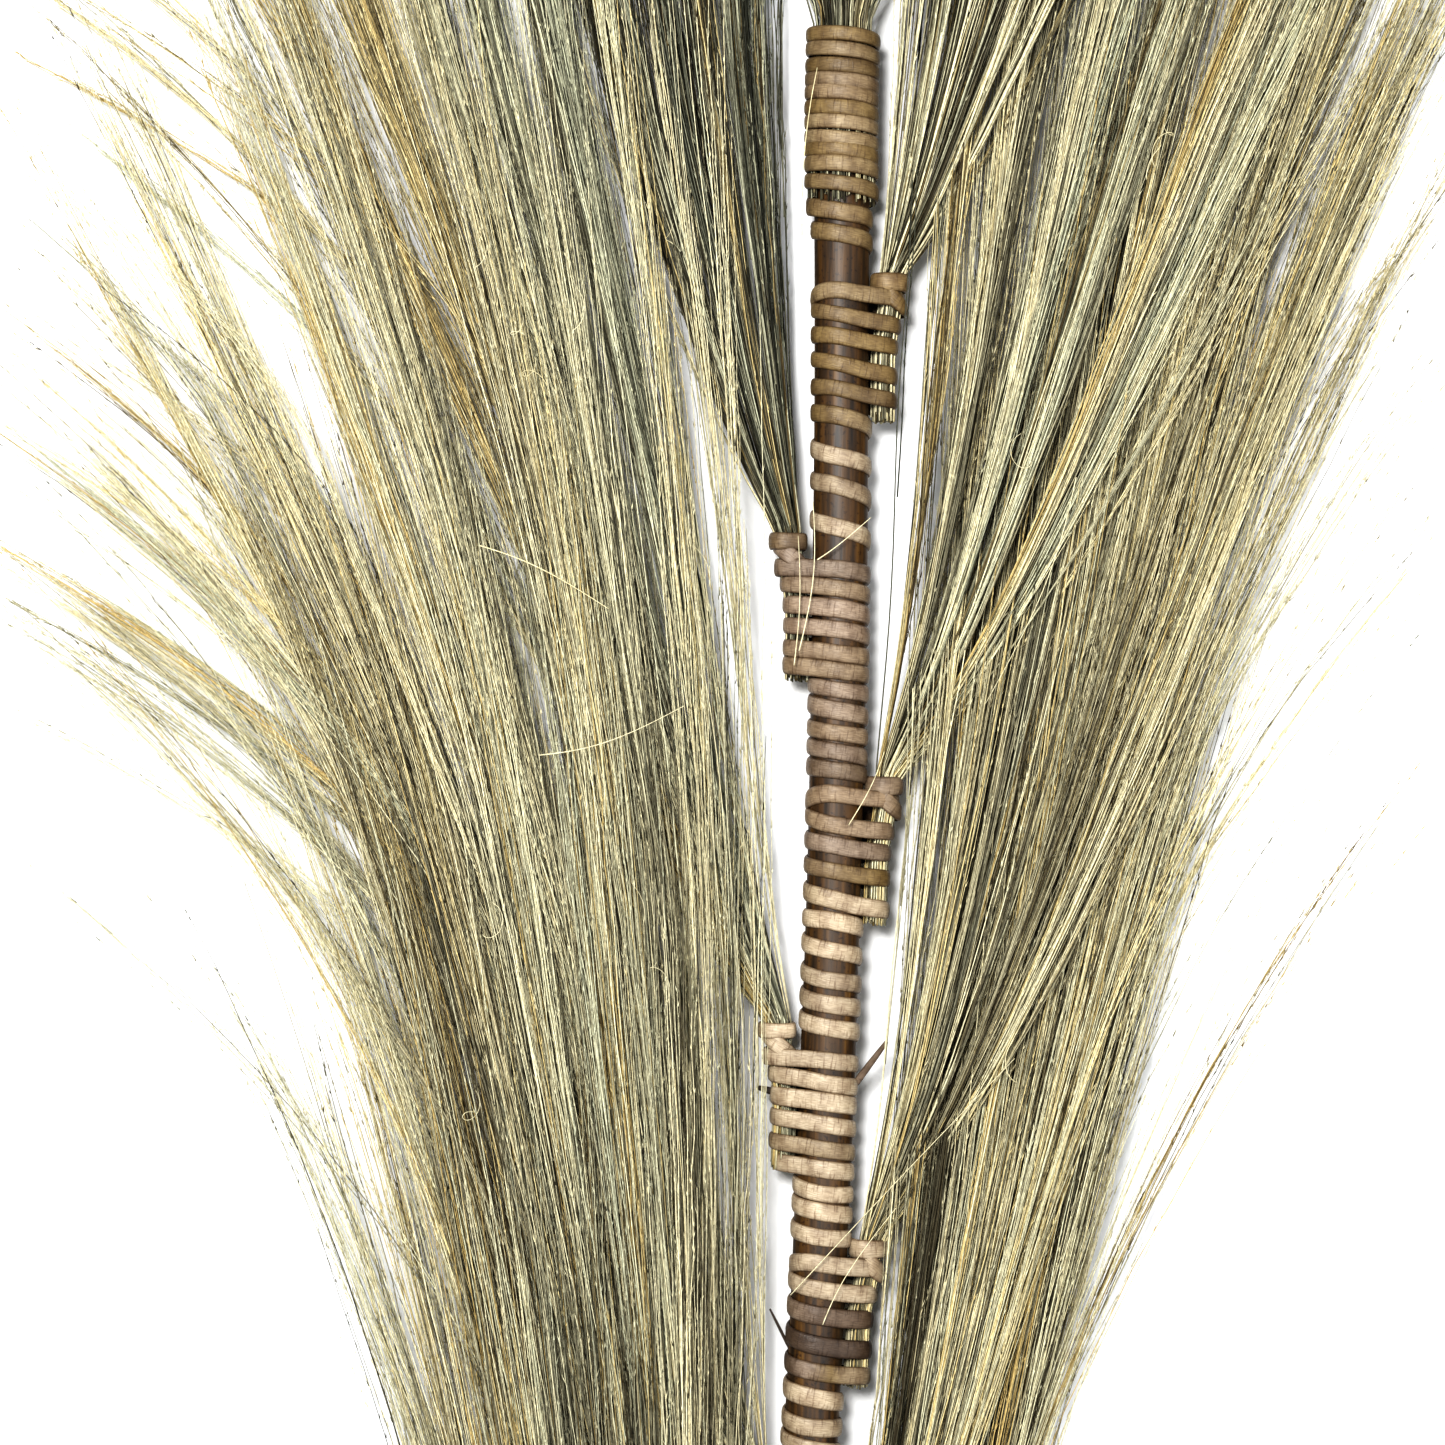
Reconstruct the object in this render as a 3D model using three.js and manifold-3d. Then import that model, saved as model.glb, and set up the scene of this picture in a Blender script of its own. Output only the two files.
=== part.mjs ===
// A bundle of rayung grass lying on a flat surface: eleven tufts of dried panicles, ten of them tied
// left and right in turn along a cane pole and one round its upper end, bound with split cane strip.
// Millimetres. X is to the right, Y runs along the pole towards the tips, Z is up.
import * as THREE from "three";
import { mergeVertices } from "three/addons/utils/BufferGeometryUtils.js";
import Module from "manifold-3d";

// Driving dimensions.
const POLE_DIAMETER = 23;
const POLE_LENGTH = 1220;
const POLE_BOW = 5; // how far the crooked pole wanders to each side
const SLEEVE_DEPTH = 40; // how far the pole reaches into the top tuft's stems
const SLEEVE_WALL = 2.2; // one layer of stems round the pole's end
const SLEEVE_LENGTH = 74; // from the butts of the top tuft to where its plume starts
const TUFTS_PER_SIDE = 5;
const FIRST_NECK = 40; // from the butts of the top tuft down to the first neck
const NECK_SPACING = 102.5; // from one neck to the next, on the other side
const NECK_WANDER = [4, -3, -2, -3, 9, 2, 4, 1, 3, 0]; // how far each hand-tied neck sits above its even place
const STEM_BUNDLE_DIAMETER = 11.4;
const STEM_LENGTH = 55; // from a neck down to the cut butts
const PLUME_LENGTH = 720;
const TOP_PLUME_LENGTH = 640;
const PLUME_DEPTH = 52; // thickness of the plumes as they lie
const TIP_DEPTH = 14;
const SETTLE_LENGTH = 90; // from a neck to where its plume lies on the surface
const FILL_LENGTH = 260; // from a neck to where its plume has its full thickness
const TAPER_FROM = 0.6; // share of a plume's length where it starts to thin
const NARROW_FROM = 0.84; // share of a plume's length where it starts to narrow
const NECK_BLOOM = 18; // width that a free plume gains close above its neck
const BLOOM_LENGTH = 45; // how fast it gains that
const PLUME_FLARE = 0.13; // width that it gains for each further millimetre
const SPREAD_LEFT = 345; // how far the widest plumes reach beyond the necks
const SPREAD_RIGHT = 262;
const TOP_FAN = 0.11; // sideways growth of the top plume for each millimetre of height
const STRIP_WIDTH = 7;
const STRIP_THICKNESS = 2;
const STRIP_EDGE = 1.2; // how much narrower the strip's outer face is, at each edge
const TURN_PITCH = 12;
const LOOP_TURNS = 1.4; // turns that the strip takes round each neck
const CLOSE_GAP = 0.7; // between the close turns round the top tuft
const LAST_TURNS_LENGTH = 130; // how far the lowest binding goes on below its neck
const GAP = 0.4; // clearance between touching pieces
const SOFT_GAP = 0.8; // clearance between a strip and the soft stems that it binds
const PLUME_GAP = 3; // clearance between soft plumes that lie side by side

// The outline of each side: how far it stands out, against the way up from its lowest neck to its last tip.
const OUTLINE_HEIGHT = [0, 0.05, 0.134, 0.28, 0.43, 0.54, 0.63, 0.71, 0.8, 0.9, 1];
const OUTLINE_REACH = [0, 0.13, 0.25, 0.39, 0.51, 0.63, 0.82, 0.96, 1, 0.9, 0.64];

const POLE_RADIUS = POLE_DIAMETER / 2;
const STEM_RADIUS = STEM_BUNDLE_DIAMETER / 2;
const SLEEVE_RADIUS = POLE_RADIUS + GAP + SLEEVE_WALL;
const POLE_TOP = SLEEVE_DEPTH;
const POLE_BOTTOM = POLE_TOP - POLE_LENGTH;

const ARC_STEP = Math.PI / 4; // coarsest turn of a wound strip between two of its sections
const CORNER = 1 / Math.cos(ARC_STEP / 2); // keeps a strip's straight runs outside the round thing they bind
const wrapReach = (radius) => (radius + SOFT_GAP) * CORNER + STRIP_THICKNESS;
const AXIS_HEIGHT = wrapReach(SLEEVE_RADIUS);
const STEM_OFFSET = POLE_RADIUS + GAP + STEM_RADIUS; // axis of a stem bundle, from the pole's axis
const NECK_OFFSET = POLE_RADIUS + GAP + wrapReach(STEM_RADIUS); // room for the neck loop behind it
const NECK_LANE = NECK_OFFSET + wrapReach(STEM_RADIUS) + GAP; // a plume that passes a neck stays beyond this
const PLUME_START = wrapReach(SLEEVE_RADIUS) + 3 * GAP; // inner edge of the plumes beside the pole
const LANE_WIDTH = NECK_LANE - PLUME_START;
const LOOP_PITCH = STRIP_WIDTH + 1; // rise of the neck loop for each turn
const LOOP_START = -STRIP_WIDTH / 2; // middle of the strip where the loop begins, from the neck
const LOOP_TOP = LOOP_START + LOOP_TURNS * LOOP_PITCH + STRIP_WIDTH / 2; // upper edge of the loop's end
const NECK_TOP = LOOP_TOP + 2; // the stems stay in a round bundle up to here
const PASSING_LENGTH = 75; // length over which a plume moves out to pass the stems of the tuft above it
const NECK_OPENING = 20; // length over which a neck opens to the full width of its plume's place
const STEP_OUT = 28; // length over which the stems step out from the pole to the loop

const lerp = THREE.MathUtils.lerp;
const smooth = THREE.MathUtils.smoothstep;

const wasm = await Module();
wasm.setup();

// Sideways place of the pole's axis at height y.
function bow(y) {
  const down = THREE.MathUtils.clamp((POLE_TOP - y) / POLE_LENGTH, 0, 1);
  return POLE_BOW * Math.sin(2 * Math.PI * down);
}

// The ties from the top down. side is +1 on the right and -1 on the left.
const ties = [];
for (let i = 0; i < 2 * TUFTS_PER_SIDE; i++) {
  const right = i % 2 === 0;
  const wander = NECK_WANDER[i % NECK_WANDER.length];
  ties.push({
    name: `${right ? "right" : "left"}_${Math.floor(i / 2) + 1}`,
    side: right ? 1 : -1,
    neck: wander - FIRST_NECK - i * NECK_SPACING,
  });
}

// Sideways distance of a tie's stems from the pole's axis: they step out at the neck to let the loop pass.
function stemOffset(tie, y) {
  const stepped = (y - tie.neck + STEP_OUT - LOOP_START) / STEP_OUT;
  return lerp(STEM_OFFSET, NECK_OFFSET, THREE.MathUtils.clamp(stepped, 0, 1));
}

// Width that a plume would have on its own, at a height above its neck, beyond its lane.
function freeWidth(above) {
  if (above <= 0) return 0;
  const opening = NECK_BLOOM * (1 - Math.exp(-above / BLOOM_LENGTH)) + PLUME_FLARE * above;
  return opening * (1 - 0.96 * smooth(above, NARROW_FROM * PLUME_LENGTH, PLUME_LENGTH));
}

// How much of its lane a tuft holds: none until its butts come near, and little at its tips.
function laneShare(above) {
  const arriving = smooth(above, -STEM_LENGTH - PASSING_LENGTH, -STEM_LENGTH);
  return arriving * (1 - 0.8 * smooth(above, 0.8 * PLUME_LENGTH, PLUME_LENGTH));
}

// Inner edge of the side plumes at height y: beside the pole, then beside the top plume.
const innerEdge = (y) => PLUME_START + TOP_FAN * Math.max(0, y - SLEEVE_LENGTH);

const outline = new THREE.CubicInterpolant(OUTLINE_HEIGHT, OUTLINE_REACH, 1);

// Outer edge of all the plumes of one side at height y.
function outerEdge(side, y) {
  const own = ties.filter((tie) => tie.side === side);
  const lowest = own[own.length - 1].neck;
  const highest = own[0].neck + PLUME_LENGTH;
  const along = THREE.MathUtils.clamp((y - lowest) / (highest - lowest), 0, 1);
  const spread = side > 0 ? SPREAD_RIGHT : SPREAD_LEFT;
  return PLUME_START + LANE_WIDTH + spread * outline.evaluate(along)[0];
}

// Inner and outer edge of a tuft at height y, from the pole's axis. The plumes of a side lie next to each
// other, the highest tied one innermost, and share the room inside the outline by their free widths.
function plumeEdges(tie, y) {
  const own = ties.filter((other) => other.side === tie.side);
  const lanes = own.map((other) => LANE_WIDTH * laneShare(y - other.neck));
  const widths = own.map((other) => freeWidth(y - other.neck));
  const sum = (values) => values.reduce((total, value) => total + value, 0);
  const room = outerEdge(tie.side, y) - innerEdge(y) - sum(lanes);
  const stretch = room / Math.max(sum(widths), 1e-6);
  let inner = innerEdge(y);
  for (let i = 0; own[i] !== tie; i++) inner += lanes[i] + stretch * widths[i];
  const place = own.indexOf(tie);
  return [inner, inner + lanes[place] + stretch * widths[place] - PLUME_GAP];
}

// A closed tuft: a capped cylinder whose rings take the section that sectionAt gives at each height.
// A section is { left, right, bottom, top, flat }: flat goes from 0, round, to 1, with a flat underside.
const TUFT_SIDES = 12;
const CLOSEST_RINGS = 1;
const TOP_RINGS = 10;
const FLAT_FROM = Math.cos((2 * Math.PI) / TUFT_SIDES);
function tuftGeometry(heights, sectionAt) {
  const rings = heights.length - 1;
  const geometry = new THREE.CylinderGeometry(1, 1, 1, TUFT_SIDES, rings);
  const position = geometry.attributes.position;
  for (let i = 0; i < position.count; i++) {
    const y = heights[Math.round((position.getY(i) + 0.5) * rings)];
    const section = sectionAt(y);
    const lowest = lerp(1, FLAT_FROM, section.flat);
    const across = (1 + position.getX(i)) / 2;
    const z = position.getZ(i);
    const up = (1 + (z > 0 ? z : Math.max(z, -lowest) / lowest)) / 2;
    position.setXYZ(i, lerp(section.left, section.right, across), y, lerp(section.bottom, section.top, up));
  }
  geometry.computeVertexNormals();
  return geometry;
}

// Section of a side tuft at height y: a round bundle of stems up to the neck, then the plume.
function sideSection(tie, y) {
  const above = y - tie.neck;
  const stem = stemOffset(tie, y);
  const open = smooth(above, NECK_TOP, NECK_TOP + NECK_OPENING);
  const [inner, outer] = plumeEdges(tie, y);
  const near = lerp(stem - STEM_RADIUS, inner, open);
  const far = lerp(stem + STEM_RADIUS, outer, open);
  const edges = [bow(y) + tie.side * near, bow(y) + tie.side * far];
  const full = lerp(AXIS_HEIGHT + STEM_RADIUS, PLUME_DEPTH, smooth(above, NECK_TOP, FILL_LENGTH));
  return {
    left: Math.min(...edges),
    right: Math.max(...edges),
    bottom: lerp(AXIS_HEIGHT - STEM_RADIUS, 0, smooth(above, NECK_TOP, SETTLE_LENGTH)),
    top: lerp(full, TIP_DEPTH, smooth(above, TAPER_FROM * PLUME_LENGTH, PLUME_LENGTH)),
    flat: open,
  };
}

// Section of the top tuft at height y: round within its binding, then a fan.
function topSection(y) {
  const above = y - SLEEVE_LENGTH;
  const towardsTips = (from) => smooth(above, from * TOP_PLUME_LENGTH, TOP_PLUME_LENGTH);
  const fan = (innerEdge(y) - 3 * GAP) * (1 - 0.45 * towardsTips(NARROW_FROM));
  const half = lerp(SLEEVE_RADIUS, fan, smooth(above, 0, 3 * NECK_OPENING));
  const full = lerp(AXIS_HEIGHT + SLEEVE_RADIUS, PLUME_DEPTH, smooth(above, 0, FILL_LENGTH));
  return {
    left: bow(y) - half,
    right: bow(y) + half,
    bottom: lerp(AXIS_HEIGHT - SLEEVE_RADIUS, 0, smooth(above, 0, SETTLE_LENGTH)),
    top: lerp(full, TIP_DEPTH, towardsTips(TAPER_FROM)),
    flat: smooth(above, 0, 3 * NECK_OPENING),
  };
}

// Heights at which all plumes of one side have a ring, so that neighbours share their bends: a few above
// each neck, as many again above the highest one, and every plume's tip.
const RING_RISES = [NECK_TOP + NECK_OPENING, 60, 95, 150];
function sharedHeights(side) {
  const necks = ties.filter((tie) => tie.side === side).map((tie) => tie.neck);
  const bases = [...necks];
  for (let y = necks[0] + 2 * NECK_SPACING; y < necks[0] + PLUME_LENGTH; y += 2 * NECK_SPACING) bases.push(y);
  const heights = bases.flatMap((base) => RING_RISES.map((rise) => base + rise));
  heights.push(...necks.map((neck) => neck + PLUME_LENGTH));
  return heights.sort((a, b) => a - b);
}

// Heights of a side tuft's rings, from its butts through its neck to its tips.
function sideHeights(tie) {
  const heights = [-STEM_LENGTH, LOOP_START - STEP_OUT, LOOP_START, NECK_TOP].map((rise) => tie.neck + rise);
  const plume = sharedHeights(tie.side).filter((y) => y <= tie.neck + PLUME_LENGTH);
  for (const y of plume) if (y > heights[heights.length - 1] + CLOSEST_RINGS) heights.push(y);
  return heights;
}

// Heights of the top tuft's rings.
function topHeights() {
  const heights = [0, SLEEVE_LENGTH, SLEEVE_LENGTH + NECK_OPENING, SLEEVE_LENGTH + 3 * NECK_OPENING];
  const first = heights[heights.length - 1];
  for (let i = 1; i <= TOP_RINGS; i++) {
    heights.push(lerp(first, SLEEVE_LENGTH + TOP_PLUME_LENGTH, i / TOP_RINGS));
  }
  return heights;
}

// manifold-3d solid of a closed geometry, and back.
function solidOf(geometry) {
  const bare = geometry.clone();
  bare.deleteAttribute("normal");
  bare.deleteAttribute("uv");
  const merged = mergeVertices(bare, 1e-4);
  const mesh = new wasm.Mesh({
    numProp: 3,
    vertProperties: merged.attributes.position.array,
    triVerts: new Uint32Array(merged.index.array),
  });
  return new wasm.Manifold(mesh);
}
function geometryOf(solid) {
  const mesh = solid.getMesh();
  const geometry = new THREE.BufferGeometry();
  geometry.setAttribute("position", new THREE.BufferAttribute(mesh.vertProperties, 3));
  geometry.setIndex(new THREE.BufferAttribute(mesh.triVerts, 1));
  geometry.computeVertexNormals();
  return geometry;
}

// The pole, or with clearance the room that it takes in the top tuft: a bowed round bar.
const POLE_SIDES = 16;
const POLE_RINGS = 16;
function poleGeometry(clearance) {
  const geometry = new THREE.CylinderGeometry(1, 1, 1, POLE_SIDES, POLE_RINGS);
  const position = geometry.attributes.position;
  const radius = (POLE_RADIUS + clearance) / (clearance ? Math.cos(Math.PI / POLE_SIDES) : 1);
  for (let i = 0; i < position.count; i++) {
    const along = position.getY(i) + 0.5;
    const y = lerp(POLE_BOTTOM, POLE_TOP + clearance, along);
    position.setXYZ(i, bow(y) + radius * position.getX(i), y, AXIS_HEIGHT + radius * position.getZ(i));
  }
  geometry.computeVertexNormals();
  return geometry;
}

// A strip's path, which lists its own sections: points, and the directions away from what it binds.
class WoundPath extends THREE.Curve {
  constructor() {
    super();
    this.points = [];
    this.outward = [];
  }
  // Adds a section at an angle round a centre, at a height along the pole, clear of a radius round it.
  wind(centre, radius, angle, y) {
    const distance = (radius + SOFT_GAP) * CORNER;
    const out = new THREE.Vector3(Math.cos(angle), 0, Math.sin(angle));
    this.points.push(new THREE.Vector3(centre, y, AXIS_HEIGHT).addScaledVector(out, distance));
    this.outward.push(out);
  }
  getPoint(t, target = new THREE.Vector3()) {
    const place = t * (this.points.length - 1);
    const from = Math.min(Math.floor(place), this.points.length - 2);
    return target.lerpVectors(this.points[from], this.points[from + 1], place - from);
  }
  getSpacedPoints() {
    return this.points;
  }
  computeFrenetFrames() {
    const last = this.points.length - 1;
    const tangents = this.points.map((point, i) => {
      const before = this.points[Math.max(i - 1, 0)];
      const after = this.points[Math.min(i + 1, last)];
      return new THREE.Vector3().subVectors(after, before).normalize();
    });
    const binormals = tangents.map((tangent, i) =>
      new THREE.Vector3().crossVectors(tangent, this.outward[i]).normalize(),
    );
    return { tangents, normals: this.outward, binormals };
  }
}

// The strip's section: x away from what it binds, y across the strip.
function stripShape() {
  const half = STRIP_WIDTH / 2;
  return new THREE.Shape([
    new THREE.Vector2(0, -half),
    new THREE.Vector2(STRIP_THICKNESS, STRIP_EDGE - half),
    new THREE.Vector2(STRIP_THICKNESS, half - STRIP_EDGE),
    new THREE.Vector2(0, half),
  ]);
}
function stripGeometry(path) {
  const steps = path.points.length - 1;
  return new THREE.ExtrudeGeometry(stripShape(), { steps, extrudePath: path, bevelEnabled: false });
}

// How many turns go into a length, at about TURN_PITCH and never tighter than the strip is wide.
function turnsIn(length) {
  return Math.max(0, Math.min(Math.round(length / TURN_PITCH), Math.floor(length / (STRIP_WIDTH + 1))));
}

// Winds whole turns round the pole, or round its sleeve of stems, from one height up to another.
function windPole(path, firstAngle, fromY, toY, turns, radiusAt) {
  const steps = (turns * 2 * Math.PI) / ARC_STEP;
  for (let i = path.points.length ? 1 : 0; i <= steps; i++) {
    const y = lerp(fromY, toY, i / steps);
    path.wind(bow(y), radiusAt(y), firstAngle + i * ARC_STEP, y);
  }
}

// Arc round one centre, in equal steps that are no coarser than ARC_STEP, climbing by rise for each step.
function windArc(path, centreAt, radius, fromAngle, toAngle, y, rise) {
  const steps = Math.ceil((toAngle - fromAngle) / (1.07 * ARC_STEP));
  for (let i = 0; i <= steps; i++) {
    path.wind(centreAt(y), radius, lerp(fromAngle, toAngle, i / steps), y);
    y += rise;
  }
  return y;
}

// The binding of a side tuft. A turn round pole and stems has ten sections, four on the stems' arc:
// it winds from low up round the pole, then round pole and stems, then round the neck.
const SECTIONS_PER_TURN = 10;
function sideBinding(tie, low) {
  const path = new WoundPath();
  const tangent = Math.acos((POLE_RADIUS - STEM_RADIUS) / STEM_OFFSET);
  const first = tie.side > 0 ? -tangent : Math.PI - tangent; // where the strip meets the stems
  const loopStart = tie.neck + LOOP_START;
  const stemTurns = turnsIn(loopStart - Math.max(low, tie.neck - STEM_LENGTH));
  const stemStart = loopStart - stemTurns * TURN_PITCH;
  const poleTurns = turnsIn(stemStart - low);
  if (poleTurns > 0) windPole(path, first, low, stemStart, poleTurns, () => POLE_RADIUS);
  const stemCentre = (height) => bow(height) + tie.side * stemOffset(tie, height);
  const rise = TURN_PITCH / SECTIONS_PER_TURN;
  let y = stemStart + rise;
  for (let turn = 0; turn < stemTurns; turn++) {
    y = windArc(path, stemCentre, STEM_RADIUS, first, first + 2 * tangent, y, rise);
    y = windArc(path, bow, POLE_RADIUS, first + 2 * tangent, first + 2 * Math.PI, y, rise);
  }
  const loopSteps = Math.ceil(LOOP_TURNS * 8);
  const loopEnd = first + LOOP_TURNS * 2 * Math.PI;
  windArc(path, stemCentre, STEM_RADIUS, first, loopEnd, y, (LOOP_TURNS * LOOP_PITCH) / loopSteps);
  return stripGeometry(path);
}

// The binding of the top tuft: open turns on the pole, then close turns round the sleeve of stems.
function topBinding(low) {
  const path = new WoundPath();
  const closePitch = STRIP_WIDTH + CLOSE_GAP;
  const closeStart = STRIP_WIDTH;
  const closeTurns = Math.round((SLEEVE_LENGTH - closeStart - STRIP_WIDTH / 2) / closePitch);
  const openTurns = turnsIn(closeStart - low);
  const radiusAt = (y) => lerp(POLE_RADIUS, SLEEVE_RADIUS, smooth(y, -1.5 * STRIP_WIDTH, -STRIP_WIDTH / 2));
  windPole(path, 0, low, closeStart, openTurns, radiusAt);
  windPole(path, 0, closeStart, closeStart + closeTurns * closePitch, closeTurns, radiusAt);
  return stripGeometry(path);
}

const grass = new THREE.MeshStandardMaterial({ color: 0xa79f6c, roughness: 0.85, metalness: 0 });
const cane = new THREE.MeshStandardMaterial({ color: 0xb39169, roughness: 0.5, metalness: 0 });
const bark = new THREE.MeshStandardMaterial({ color: 0x5f4a33, roughness: 0.6, metalness: 0 });

const bundle = new THREE.Group();
function add(name, geometry, material) {
  const mesh = new THREE.Mesh(geometry, material);
  mesh.name = name;
  bundle.add(mesh);
}

add("pole", poleGeometry(0), bark);

const topSolid = solidOf(tuftGeometry(topHeights(), topSection)).subtract(solidOf(poleGeometry(GAP)));
add("tuft_top", geometryOf(topSolid), grass);

for (const tie of ties) {
  add(`tuft_${tie.name}`, tuftGeometry(sideHeights(tie), (y) => sideSection(tie, y)), grass);
}

// Each binding starts just above the neck loop of the tie below it.
const nextStart = LOOP_TOP + STRIP_WIDTH / 2 + 2;
add("binding_top", topBinding(ties[0].neck + nextStart), cane);
ties.forEach((tie, i) => {
  const below = ties[i + 1];
  const low = below ? below.neck + nextStart : tie.neck - LAST_TURNS_LENGTH;
  add(`binding_${tie.name}`, sideBinding(tie, low), cane);
});

// The origin is under the middle of the bundle's box, on the surface it lies on.
const box = new THREE.Box3().setFromObject(bundle);
const middle = box.getCenter(new THREE.Vector3());
bundle.position.set(-middle.x, -middle.y, -box.min.z);

export default bundle;
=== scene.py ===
"""The looks of a bundle of rayung grass: loose straws and plumes, a crooked cane pole and wound cane strip.

Everything is in metres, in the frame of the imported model. Each tuft's straws leave the neck of its solid and
fan out over and between the other tufts. Each strip is wound round the pole and stems where its own solid is.
"""
import math

import bpy
import numpy as np
from mathutils import Matrix, Vector


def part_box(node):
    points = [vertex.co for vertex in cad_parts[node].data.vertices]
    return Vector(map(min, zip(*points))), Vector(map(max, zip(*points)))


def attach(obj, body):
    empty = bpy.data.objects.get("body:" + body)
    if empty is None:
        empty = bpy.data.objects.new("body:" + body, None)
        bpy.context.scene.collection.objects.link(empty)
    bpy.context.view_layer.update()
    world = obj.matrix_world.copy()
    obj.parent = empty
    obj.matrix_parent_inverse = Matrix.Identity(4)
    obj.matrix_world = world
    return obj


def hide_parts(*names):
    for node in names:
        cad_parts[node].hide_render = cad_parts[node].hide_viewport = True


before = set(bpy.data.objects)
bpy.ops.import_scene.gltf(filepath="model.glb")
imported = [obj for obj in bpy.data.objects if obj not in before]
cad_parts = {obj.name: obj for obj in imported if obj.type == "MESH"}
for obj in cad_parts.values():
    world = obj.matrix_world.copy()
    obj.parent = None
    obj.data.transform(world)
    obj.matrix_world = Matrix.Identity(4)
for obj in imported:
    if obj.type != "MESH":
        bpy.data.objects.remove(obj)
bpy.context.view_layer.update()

MM = 0.001
SIDES = {"right": 1, "left": -1}
TIES = [f"{side}_{i}" for i in range(1, 6) for side in ("right", "left")]

# Sizes that the solids don't show by themselves.
POLE_RADIUS = 11.5 * MM
POLE_BOW = 5 * MM
STEM_RADIUS = 5.7 * MM
STEM_LENGTH = 55 * MM
SLEEVE_LENGTH = 74 * MM
SLEEVE_RADIUS = 14.1 * MM
STRIP_WIDTH = 7.4 * MM
STRIP_THICKNESS = 1.4 * MM

# Seeds of the random draws. The last two gain the tuft's number.
BINDINGS_SEED, STRIP_ENDS_SEED, LOOSE_SEED = 31, 59, 77
TUFT_SEED, CLUMPS_SEED = 100, 300


# ---------------- places in the frame


def box(node):
    """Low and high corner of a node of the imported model."""
    low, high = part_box(node)
    return np.array(low), np.array(high)


pole_low, pole_high = box("pole")
AXIS_X = (pole_low[0] + pole_high[0]) / 2
AXIS_Z = (pole_low[2] + pole_high[2]) / 2
POLE_TOP = pole_high[1]
POLE_LENGTH = pole_high[1] - pole_low[1]
SLEEVE_BOTTOM = box("tuft_top")[0][1]
NECK_OF = {tie: box(f"tuft_{tie}")[0][1] + STEM_LENGTH for tie in TIES}


def smooth(value, start, end):
    """0 before start, 1 after end, and an even rise between them."""
    share = np.clip((np.asarray(value, dtype=float) - start) / (end - start), 0, 1)
    return share * share * (3 - 2 * share)


def bow(y):
    """Sideways place of the crooked pole's axis at height y."""
    down = np.clip((POLE_TOP - np.asarray(y, dtype=float)) / POLE_LENGTH, 0, 1)
    return AXIS_X + POLE_BOW * np.sin(2 * np.pi * down)


# ---------------- camera, light and floor

FIELD = 607 * MM  # what the picture shows of the bundle, across
LENS = 90.0
SENSOR = 36.0
LEAN = math.radians(1.44)  # how far the pole leans to the right of the picture's upright
VIEW_CENTRE_BELOW = 219.5 * MM  # middle of the picture, below the top tuft's butts
VIEW_CENTRE_LEFT = 43.5 * MM  # and to the left of the pole

FLOOR_SIZE = 24.0
FLOOR_DROP = 0.2 * MM  # below the bundle
FLOOR_COLOUR = (0.86, 0.87, 0.885, 1)
SKY_COLOUR = (0.93, 0.96, 1.0, 1)
SKY_STRENGTH = 0.55
# Place, side, power and colour of the square lamps. Both aim at the middle of the frame.
LIGHTS = {
    "key": ((-0.4, 0.5, 2.05), 0.5, 46, (1, 0.985, 0.96)),
    "fill": ((1.2, -0.5, 1.8), 1.4, 12, (1, 1, 1)),
}


def make_camera():
    """Looks straight down on the upper middle of the bundle, as the photo does."""
    right = Vector((math.cos(LEAN), math.sin(LEAN), 0))
    up = Vector((-math.sin(LEAN), math.cos(LEAN), 0))
    centre = Vector((AXIS_X, SLEEVE_BOTTOM - VIEW_CENTRE_BELOW, AXIS_Z)) - right * VIEW_CENTRE_LEFT
    data = bpy.data.cameras.new("camera")
    data.lens = LENS
    data.sensor_width = SENSOR
    camera = bpy.data.objects.new("camera", data)
    bpy.context.scene.collection.objects.link(camera)
    distance = FIELD * LENS / SENSOR
    turn = Matrix((right, up, right.cross(up))).transposed().to_4x4()
    camera.matrix_world = Matrix.Translation(centre + Vector((0, 0, distance))) @ turn
    bpy.context.scene.camera = camera


def area_light(name, place, size, power, colour):
    data = bpy.data.lights.new(name, "AREA")
    data.shape = "SQUARE"
    data.size = size
    data.energy = power
    data.color = colour
    light = bpy.data.objects.new(name, data)
    light.location = place
    light.rotation_euler = (-Vector(place)).to_track_quat("-Z", "Y").to_euler()
    bpy.context.scene.collection.objects.link(light)


def make_stage():
    """A white floor, a pale sky and two lamps."""
    bpy.ops.mesh.primitive_plane_add(size=FLOOR_SIZE, location=(0, 0, -FLOOR_DROP))
    floor = bpy.context.object
    floor.name = "floor"
    material = bpy.data.materials.new("floor")
    material.use_nodes = True
    shader = material.node_tree.nodes["Principled BSDF"]
    shader.inputs["Base Color"].default_value = FLOOR_COLOUR
    shader.inputs["Roughness"].default_value = 0.9
    floor.data.materials.append(material)
    world = bpy.data.worlds.new("studio")
    world.use_nodes = True
    background = world.node_tree.nodes["Background"]
    background.inputs["Color"].default_value = SKY_COLOUR
    background.inputs["Strength"].default_value = SKY_STRENGTH
    bpy.context.scene.world = world
    for name, lamp in LIGHTS.items():
        area_light(name, *lamp)
    settings = bpy.context.scene.view_settings
    settings.view_transform = "Standard"
    settings.look = "High Contrast"


# ---------------- materials


BUMP_STRENGTH = 0.5
BUMP_DISTANCE = 0.3 * MM


def new_material(name):
    material = bpy.data.materials.new(name)
    material.use_nodes = True
    return material, material.node_tree.nodes, material.node_tree.links


def attribute(nodes, name):
    """A value that the mesh holds for each point."""
    node = nodes.new("ShaderNodeAttribute")
    node.attribute_name = name
    return node.outputs["Fac"]


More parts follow.
